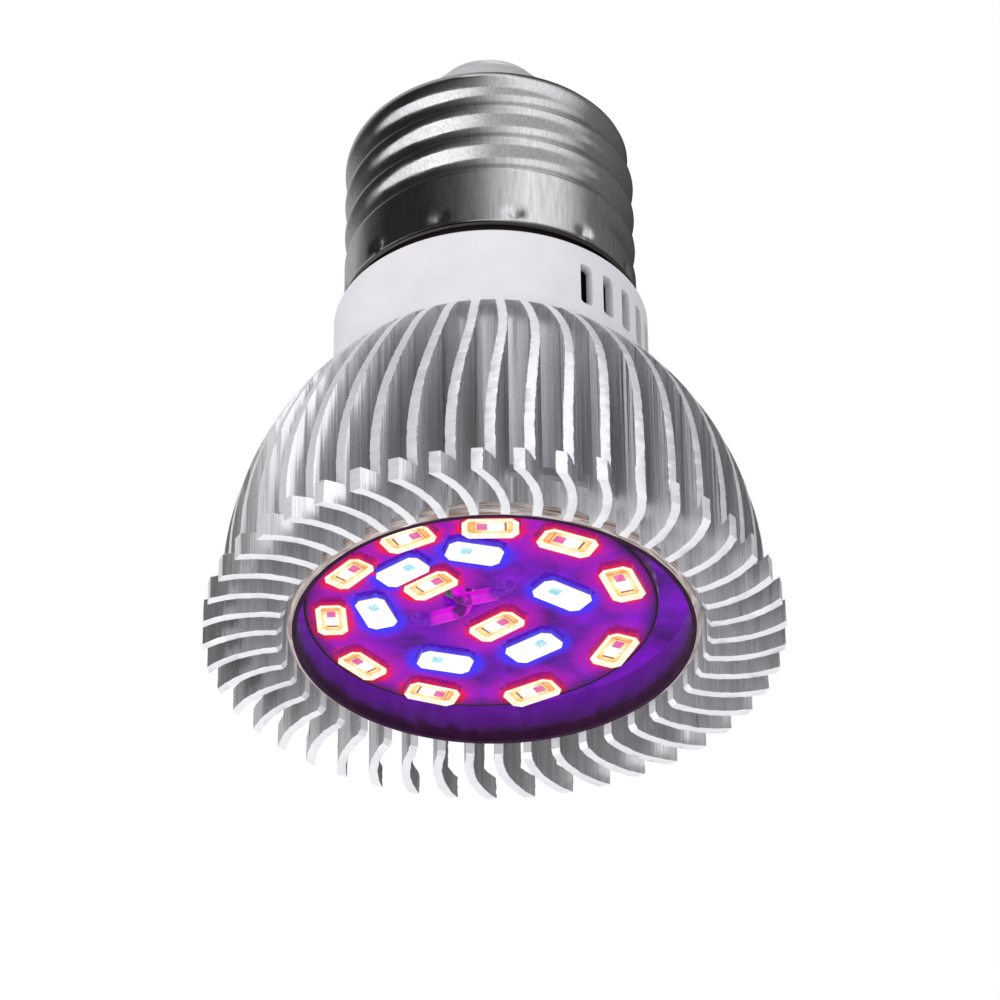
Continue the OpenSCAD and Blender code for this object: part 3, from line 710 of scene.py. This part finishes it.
def led_package(sizes, front, back):
    """One package lying face down, long side along X: a frame round a sunk window, and its feet."""
    long = sizes.led_length / MM - 0.3
    wide = sizes.led_width / MM
    high = sizes.led_height / MM
    bm = bmesh.new()
    bmesh.ops.create_cube(bm, size=1.0)
    bmesh.ops.scale(bm, vec=(long, wide, high), verts=bm.verts)
    bmesh.ops.translate(bm, vec=(0, 0, high / 2), verts=bm.verts)
    uprights = [e for e in bm.edges if abs((e.verts[0].co - e.verts[1].co).z) > high / 2]
    bmesh.ops.bevel(bm, geom=uprights, offset=0.6, offset_type="OFFSET", segments=1, profile=0.5,
                    affect="EDGES", clamp_overlap=True, material=-1)
    face = min(bm.faces, key=lambda f: f.calc_center_median().z)
    bmesh.ops.inset_region(bm, faces=[face], thickness=0.42, depth=0.0, use_even_offset=True)
    bmesh.ops.inset_region(bm, faces=[face], thickness=0.12, depth=-0.22, use_even_offset=True)
    sides = [f for f in bm.faces if f is not face]
    for side in sides:
        side.material_index = 4 if abs(side.normal.z) < 0.1 and side.calc_center_median().z > 0.25 else 0
    face.material_index = 1
    outer = [e for e in bm.edges if e.calc_face_angle(0) > 0.6 and all(v.co.z < 0.01 for v in e.verts)]
    bmesh.ops.bevel(bm, geom=outer, offset=0.05, offset_type="OFFSET", segments=2, profile=0.5,
                    affect="EDGES", clamp_overlap=True, material=-1)
    for side in (-1, 1):
        block(bm, (1.0, wide * 0.8, 0.12), (side * (long / 2 - 0.35), 0, high - 0.06), 4, 0.02)
    block(bm, (0.95, 0.85, 0.12), (-0.75, 0.0, 0.2), 2, 0.02)
    block(bm, (0.2, 1.15, 0.05), (1.35, 0.0, 0.21), 3, 0.01)
    block(bm, (0.08, 1.5, 0.04), (-1.45, 0.0, 0.21), 3, 0.0)
    return bm


class GROWLIGHT_OT_leds(Operator):
    """Builds the LED packages, red and blue"""
    bl_idname = "growlight.leds"
    bl_label = "LEDs"

    def execute(self, context):
        sizes = context.scene.grow_light_board
        cream = glowing("Red LED frame", (1.0, 0.82, 0.5), (1.0, 0.95, 0.8), 1.15)
        warm = lit_window("Red LED window", (1.0, 1.0, 0.92), (1.0, 0.72, 0.3), (1.0, 0.35, 0.06), 1.15)
        pink = glowing("Red LED die", (0.85, 0.12, 0.38), (0.95, 0.25, 0.5), 0.9)
        brown = glowing("LED lead frame", (0.4, 0.13, 0.08), (0.62, 0.26, 0.12), 0.85)
        ice = glowing("Blue LED frame", (0.85, 0.95, 1.0), (1.0, 1.0, 1.0), 1.2)
        cold = lit_window("Blue LED window", (1.0, 1.0, 1.0), (1.0, 1.0, 1.0), (0.8, 0.95, 1.0), 1.2)
        cyan = glowing("Blue LED die", (0.3, 0.72, 0.75), (0.6, 0.9, 0.92), 1.0)
        pale = glowing("Blue LED lead frame", (0.7, 0.85, 0.85), (0.9, 0.97, 0.97), 1.1)
        ember = side_glow("Red LED side", (0.95, 0.02, 0.04), (0.32, 0.0, 0.2))
        frost = side_glow("Blue LED side", (0.12, 0.1, 1.0), (0.08, 0.0, 0.5))
        kinds = [("red", RED_PLACES, [cream, warm, pink, brown, ember]),
                 ("blue", BLUE_PLACES, [ice, cold, cyan, pale, frost])]
        for kind, places, materials in kinds:
            for number, spot in enumerate(places, 1):
                node = f"{kind}_led_{number:02d}"
                low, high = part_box(node)
                bm = led_package(sizes, low, high)
                layer = bm.loops.layers.uv.new("UVMap")
                for side in bm.faces:
                    for corner in side.loops:
                        corner[layer].uv = corner.vert.co.xy
                middle, turn = on_board(sizes, spot)
                share = min(1.0, max(0.88, 0.95 + 0.006 * middle.x))
                bmesh.ops.scale(bm, vec=(share, share, 1.0), verts=bm.verts)
                bmesh.ops.rotate(bm, cent=(0, 0, 0), matrix=Matrix.Rotation(turn, 3, "Z"), verts=bm.verts)
                bmesh.ops.translate(bm, vec=(middle.x, middle.y, low[2] / MM), verts=bm.verts)
                package = finish_piece(bm, f"{kind}_package_{number:02d}", materials, [node], 25)
                keep_light_in(package)
        return {"FINISHED"}


def lit_insulation(name, sizes):
    """The leads' insulation, bright magenta near the hole and as violet as the board at their ends."""
    material, tree, shader = start_material(name, roughness=0.35)
    away = put(tree, "VectorMath", {0: place(tree, (1.0, 1.0, 0.0)), 1: LEAD_HOLE}, operation="DISTANCE")
    cloud = grain(tree, (0.9, 0.9, 0.9), detail=3.0)
    reach = math_node(tree, "ADD", away.outputs["Value"], spread(tree, cloud, -0.8, 0.8))
    tone = ramp(tree, spread(tree, reach, 0.0, 1.0, 0.0, 6.0),
                [(0.0, (0.1, 0.0, 0.16)), (0.14, (0.12, 0.0, 0.2)), (0.26, (0.8, 0.0, 0.75)),
                 (0.45, (0.55, 0.0, 0.6)), (0.6, sizes.violet)])
    tree.links.new(tone, shader.inputs["Emission Color"])
    shader.inputs["Emission Strength"].default_value = 1.0
    shader.inputs["Specular IOR Level"].default_value = 0.2
    tree.links.new(blend(tree, 1.0, tone, (0.12, 0.12, 0.12, 1.0), "MULTIPLY"), shader.inputs["Base Color"])
    return material


class GROWLIGHT_OT_leads(Operator):
    """Gives the two leads on the LED board their lit insulation"""
    bl_idname = "growlight.leads"
    bl_label = "Leads"

    def execute(self, context):
        lit = lit_insulation("Lit insulation", context.scene.grow_light_board)
        for node in ("positive_lead", "negative_lead"):
            finish_node(node, lit)
            keep_light_in(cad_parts[node])
        return {"FINISHED"}


# Driver housing

class GROWLIGHT_OT_housing(Operator):
    """Builds the white driver housing with its vent slots"""
    bl_idname = "growlight.housing"
    bl_label = "Driver housing"

    def execute(self, context):
        sizes = context.scene.grow_light_housing
        bm = merged_copy("driver_housing")
        round_edges(bm, sizes.edge / MM, 2, 40)
        top = 34.2
        # Painted shade: the inner walls and the neck that shows in the gap under the cap shell get a near-black
        # plastic.
        for face in bm.faces:
            middle = face.calc_center_median()
            reach = max(math.hypot(vert.co.x, vert.co.y) for vert in face.verts)
            inside = reach < 13.25 and middle.z > 26.0
            face.material_index = 1 if inside or (middle.z > top + 0.02 and reach < 12.8) else 0
        white = moulded_plastic("White plastic", sizes.tint)
        dark = moulded_plastic("Shaded inside", (0.012, 0.004, 0.007), 0.6)
        finish_piece(bm, "white_driver_housing", [white, dark], ["driver_housing"], 40)
        return {"FINISHED"}


class GROWLIGHT_OT_driver(Operator):
    """Gives the driver inside the housing its finishes"""
    bl_idname = "growlight.driver"
    bl_label = "Driver"

    def execute(self, context):
        finish_node("driver_board", moulded_plastic("Solder mask", (0.02, 0.11, 0.04), 0.3))
        chip = moulded_plastic("Chip epoxy", (0.012, 0.012, 0.013), 0.5)
        for node in ("bridge_rectifier", "driver_chip", "flyback_diode"):
            finish_node(node, chip)
        finish_node("fuse_resistor", moulded_plastic("Resistor lacquer", (0.08, 0.24, 0.15), 0.3))
        sleeve = moulded_plastic("Capacitor sleeve", (0.012, 0.014, 0.03), 0.25)
        for node in ("input_capacitor", "output_capacitor"):
            finish_node(node, sleeve)
        finish_node("power_inductor", moulded_plastic("Shrunk sleeve", (0.008, 0.008, 0.009), 0.3))
        finish_node("live_lead", moulded_plastic("Live insulation", (0.38, 0.015, 0.012), 0.4))
        finish_node("neutral_lead", moulded_plastic("Neutral insulation", (0.012, 0.012, 0.014), 0.4))
        return {"FINISHED"}


# Screw cap

def ease(value, low, high):
    """Smooth step from 0 to 1."""
    share = min(1.0, max(0.0, (value - low) / (high - low)))
    return share * share * (3 - 2 * share)


def groove(sizes, height, angle):
    """Depth of the rolled groove at a height in millimetres and a direction in degrees."""
    turns = (height - 40.45) / (sizes.pitch / MM) - angle / 360
    whole = round(turns)
    along = whole + angle / 360
    fade = ease(along, -0.14, 0.04) * (1 - ease(along, 3.22, 3.4))
    return sizes.groove / MM * fade * (1 + math.cos(math.tau * (turns - whole))) / 2


def dimple(sizes, height, angle):
    """Depth of the crimped dimples at a height and a direction."""
    pitch = 360 / sizes.dimples
    off = (angle - 10 + pitch / 2) % pitch - pitch / 2
    across = math.radians(off) * sizes.radius / MM
    away = math.hypot(across, (height - 36.7) * 0.9)
    return 1.7 * sizes.dimple / MM * math.exp(-(away / 0.5) ** 2)


class GROWLIGHT_OT_cap(Operator):
    """Builds the screw cap: rolled shell, insulator and centre contact"""
    bl_idname = "growlight.cap"
    bl_label = "Screw cap"

    def execute(self, context):
        sizes = context.scene.grow_light_cap
        radius = sizes.radius / MM
        sheet = sizes.sheet / MM
        low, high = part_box("cap_shell")
        rim = low[2] / MM
        end = high[2] / MM
        outer = [(radius - 0.12, rim + 0.2), (radius + 0.06, rim), (radius + 0.24, rim + 0.14),
                 (radius + 0.2, rim + 0.36), (radius + 0.07, rim + 0.55)]
        rows = 104
        bend = 3.2
        shoulder = end - 1.1 - bend
        for row in range(rows + 1):
            outer.append((radius, rim + 0.75 + (shoulder - rim - 0.75) * row / rows))
        for step in range(1, 9):
            angle = math.radians(90 * step / 8)
            outer.append((radius - bend + bend * math.cos(angle), shoulder + bend * math.sin(angle)))
        outer.append((9.2, end - 0.35))
        outer.append((8.55, end))
        inner = [(reach - sheet, height - (0.0 if height < shoulder + 0.2 else sheet))
                 for reach, height in outer[5:-1]]
        inner.append((8.55, end - sheet))
        bm = bmesh.new()
        turn_section(bm, outer + inner[::-1], 168)
        for vert in bm.verts:
            reach = math.hypot(vert.co.x, vert.co.y)
            angle = math.degrees(math.atan2(vert.co.y, vert.co.x)) % 360 or 360.0
            depth = groove(sizes, vert.co.z, angle) + dimple(sizes, vert.co.z, angle)
            if vert.co.z > rim + 0.5 and depth > 0:
                vert.co.xy *= (reach - depth) / reach
        # Painted shade: the rolled rim at the shell's lower end gets a near-black plating, standing in for the
        # shade in the gap above the collar.
        for face in bm.faces:
            face.material_index = 1 if face.calc_center_median().z < rim + 0.42 else 0
        plated = plated_metal("Nickel plating", sizes.tint)
        edge = plated_metal("Painted shade on shell rim", (0.07, 0.065, 0.06))
        finish_piece(bm, "rolled_screw_shell", [plated, edge], ["cap_shell"], 50)

        bm = merged_copy("cap_insulator")
        round_edges(bm, 0.15, 3)
        pale = moulded_plastic("Insulator", (0.58, 0.58, 0.585), 0.3)
        finish_piece(bm, "contact_insulator", [pale], ["cap_insulator"])
        bm = merged_copy("centre_contact")
        round_edges(bm, 0.12, 3)
        tinned = turned_metal("Tinned contact", (0.78, 0.78, 0.78))
        finish_piece(bm, "domed_contact", [tinned], ["centre_contact"])
        return {"FINISHED"}


# Stage

def sky_band(name, up, stops, radius=0.3):
    """A band of studio light all round, between two heights in degrees, that only reflections see."""
    bm = bmesh.new()
    rows = 12
    arc = []
    for row in range(rows + 1):
        rise = math.radians(up[0] + (up[1] - up[0]) * row / rows)
        arc.append((radius * math.cos(rise), radius * math.sin(rise)))
    turn_section(bm, arc, 72, closed=False)
    mesh = bpy.data.meshes.new(name)
    bm.to_mesh(mesh)
    bm.free()
    material = bpy.data.materials.new(name)
    material.use_nodes = True
    tree = material.node_tree
    tree.nodes.clear()
    direction = put(tree, "TexGradient", {"Vector": put(tree, "TexCoord").outputs["Object"]},
                    gradient_type="RADIAL")
    light = ramp(tree, direction.outputs["Fac"],
                 [((angle + 180) / 360, (level, level, level * 1.02)) for angle, level in stops])
    glow = put(tree, "Emission", {"Color": light})
    output = put(tree, "OutputMaterial")
    tree.links.new(glow.outputs[0], output.inputs["Surface"])
    mesh.materials.append(material)
    band = bpy.data.objects.new(name, mesh)
    band.location.z = 0.028
    bpy.context.scene.collection.objects.link(band)
    band.visible_camera = False
    band.visible_diffuse = False
    band.visible_transmission = False
    band.visible_shadow = False


def area_lamp(name, spot, target, size, power):
    """A soft square lamp that faces a point."""
    data = bpy.data.lights.new(name, "AREA")
    data.shape = "SQUARE"
    data.size = size
    data.energy = power
    lamp = bpy.data.objects.new(name, data)
    lamp.location = spot
    lamp.rotation_euler = (Vector(target) - Vector(spot)).to_track_quat("-Z", "Y").to_euler()
    bpy.context.scene.collection.objects.link(lamp)


class GROWLIGHT_OT_stage(Operator):
    """Builds the floor, the studio cards, the lamp, the white surround and the camera"""
    bl_idname = "growlight.stage"
    bl_label = "Stage"

    def execute(self, context):
        settings = context.scene.grow_light_stage
        scene = context.scene
        scene.view_settings.view_transform = "Standard"

        floor_mesh = bpy.data.meshes.new("floor")
        bm = bmesh.new()
        bmesh.ops.create_grid(bm, x_segments=1, y_segments=1, size=3.0)
        bmesh.ops.translate(bm, vec=(0, 0, -0.33), verts=bm.verts)
        bm.to_mesh(floor_mesh)
        bm.free()
        floor_mesh.materials.append(moulded_plastic("Pale floor", settings.floor_tint, 0.7))
        floor = bpy.data.objects.new("floor", floor_mesh)
        scene.collection.objects.link(floor)

        sky_band("upper_light_band", (-20, 82), UPPER_LIGHT)
        sky_band("lower_light_band", (-85, -21), LOWER_LIGHT)

        area_lamp("key_lamp", (-0.26, -0.346, -0.22), (0, 0, 0.03), 0.22, settings.lamp_power)

        world = bpy.data.worlds.new("studio")
        scene.world = world
        world.use_nodes = True
        tree = world.node_tree
        tree.nodes.clear()
        rays = put(tree, "LightPath")
        seen = math_node(tree, "MAXIMUM", rays.outputs["Is Camera Ray"], rays.outputs["Is Glossy Ray"])
        seen = math_node(tree, "MAXIMUM", seen, rays.outputs["Is Transmission Ray"])
        light = put(tree, "Background", {"Color": (0.98, 0.97, 1.0, 1.0), "Strength": 0.88})
        white = put(tree, "Background", {"Color": (1.0, 1.0, 1.0, 1.0), "Strength": 1.0})
        mix = put(tree, "MixShader", {0: seen, 1: light.outputs[0], 2: white.outputs[0]})
        output = put(tree, "OutputWorld")
        tree.links.new(mix.outputs[0], output.inputs["Surface"])

        rise = math.radians(37.22)
        roll = math.radians(-0.683)
        ahead = Vector((0.0, math.cos(rise), math.sin(rise)))
        right = Vector((1.0, 0.0, 0.0))
        up = Vector((0.0, -math.sin(rise), math.cos(rise)))
        side = right * math.cos(roll) + up * math.sin(roll)
        top = up * math.cos(roll) - right * math.sin(roll)
        data = bpy.data.cameras.new("camera")
        data.sensor_width = 36.0
        data.lens = settings.lens
        data.shift_x = 0.0086
        data.shift_y = -0.1194
        data.clip_start = 0.01
        data.clip_end = 20.0
        camera = bpy.data.objects.new("camera", data)
        turn = Matrix((side, top, -ahead)).transposed().to_4x4()
        camera.matrix_world = Matrix.Translation((0.0, -0.3551, -0.2417)) @ turn
        scene.collection.objects.link(camera)
        scene.camera = camera
        return {"FINISHED"}


OPERATORS = (
    GROWLIGHT_OT_heat_sink, GROWLIGHT_OT_cover, GROWLIGHT_OT_board, GROWLIGHT_OT_leds, GROWLIGHT_OT_leads,
    GROWLIGHT_OT_housing, GROWLIGHT_OT_driver, GROWLIGHT_OT_cap, GROWLIGHT_OT_stage,
)
SETTINGS = {
    "grow_light_sink": HeatSinkSettings,
    "grow_light_cover": CoverSettings,
    "grow_light_board": BoardSettings,
    "grow_light_housing": HousingSettings,
    "grow_light_cap": CapSettings,
    "grow_light_stage": StageSettings,
}


class GROWLIGHT_PT_panel(Panel):
    """The bulb's buttons, then its settings in a box for each group"""
    bl_idname = "GROWLIGHT_PT_panel"
    bl_label = "Grow light bulb"
    bl_space_type = "VIEW_3D"
    bl_region_type = "UI"
    bl_category = "Grow light"

    def draw(self, context):
        for operator in OPERATORS:
            self.layout.operator(operator.bl_idname)
        for name, group in SETTINGS.items():
            box = self.layout.box()
            for key in group.__annotations__:
                box.prop(getattr(context.scene, name), key)


def register():
    for group in SETTINGS.values():
        bpy.utils.register_class(group)
    for name, group in SETTINGS.items():
        setattr(bpy.types.Scene, name, PointerProperty(type=group))
    for operator in OPERATORS:
        bpy.utils.register_class(operator)
    bpy.utils.register_class(GROWLIGHT_PT_panel)


def unregister():
    bpy.utils.unregister_class(GROWLIGHT_PT_panel)
    for operator in reversed(OPERATORS):
        bpy.utils.unregister_class(operator)
    for name, group in SETTINGS.items():
        delattr(bpy.types.Scene, name)
        bpy.utils.unregister_class(group)


def main():
    """Builds every piece and the stage."""
    register()
    bpy.ops.growlight.heat_sink()
    bpy.ops.growlight.cover()
    bpy.ops.growlight.board()
    bpy.ops.growlight.leds()
    bpy.ops.growlight.leads()
    bpy.ops.growlight.housing()
    bpy.ops.growlight.driver()
    bpy.ops.growlight.cap()
    bpy.ops.growlight.stage()


if __name__ == "__main__":
    main()
